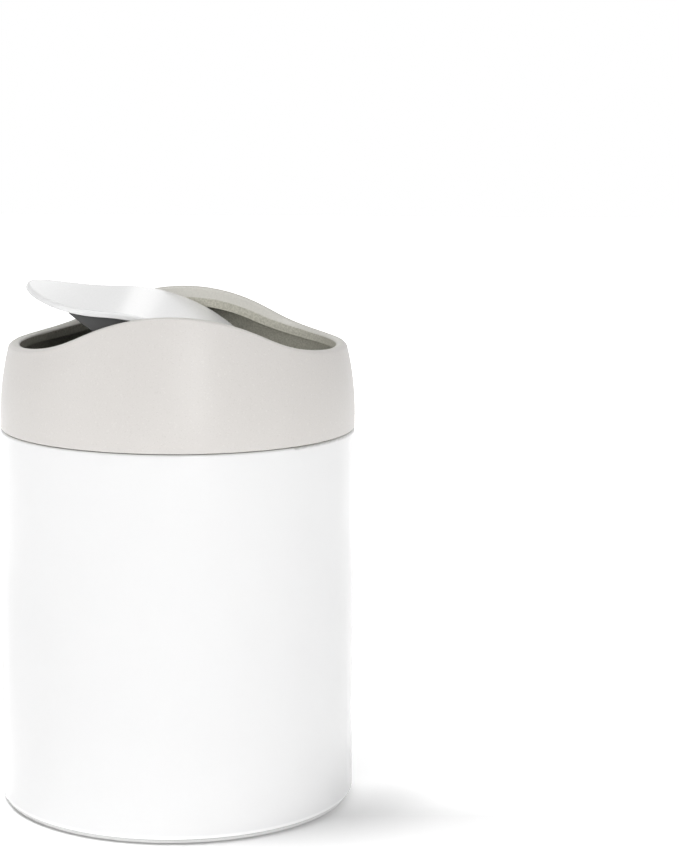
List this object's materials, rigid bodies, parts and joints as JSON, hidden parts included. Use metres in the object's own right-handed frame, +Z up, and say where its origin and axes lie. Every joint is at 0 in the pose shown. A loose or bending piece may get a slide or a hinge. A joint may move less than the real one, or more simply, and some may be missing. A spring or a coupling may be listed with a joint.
{
  "type": "countertop trash can with swing lid",
  "caption": "Small round countertop trash can: white steel body, stone-grey domed collar with a waved rim, and a white swing lid pivoted front to back.",
  "frame": {"origin": "centre of the foot ring's underside, on the surface that the can stands on", "axes": "+Z up; the lid swings about a line along Y, -Y is the front; the stored lid is pressed down on the +X side"},
  "size_m": [0.127, 0.127, 0.1856],
  "materials": {
    "white_coated_steel": "smooth satin-gloss powder coat",
    "pale_grey_plastic": "fine matte",
    "grey_rubber": "soft matte",
    "speckled_stone_plastic": "matte stone grey with a fine darker speckle",
    "mid_grey_plastic": "fine matte",
    "natural_acetal": "semi-gloss, natural",
    "white_gloss_plastic": "high gloss",
    "dark_grey_plastic": "fine matte",
    "weight_steel": "rolled, lightly brushed",
    "screw_steel": "zinc plated",
    "pin_steel": "ground"
  },
  "bodies": {
    "can": {"body_shell": "white_coated_steel", "base_cap": "pale_grey_plastic", "foot_ring": "grey_rubber"},
    "collar": {"collar_shell": "speckled_stone_plastic", "collar_liner": "mid_grey_plastic", "pivot_bushing_front": "natural_acetal", "pivot_bushing_back": "natural_acetal"},
    "swing_lid": {"lid_panel": "white_gloss_plastic", "lid_underbody": "dark_grey_plastic", "counterweight": "weight_steel", "counterweight_screws": "screw_steel", "lid_screws": "screw_steel", "pivot_pin_front": "pin_steel", "pivot_pin_back": "pin_steel"}
  },
  "joints": [
    {"name": "collar_lift", "type": "slide", "parent": "can", "child": "collar", "axis": [0, 0, 1], "range_m": [0, 0.06]},
    {"name": "lid_swing", "type": "hinge", "parent": "collar", "child": "swing_lid", "pos_m": [0, 0, 0.1692], "axis": [0, 1, 0], "range_deg": [-87.9, 42.1]}
  ]
}
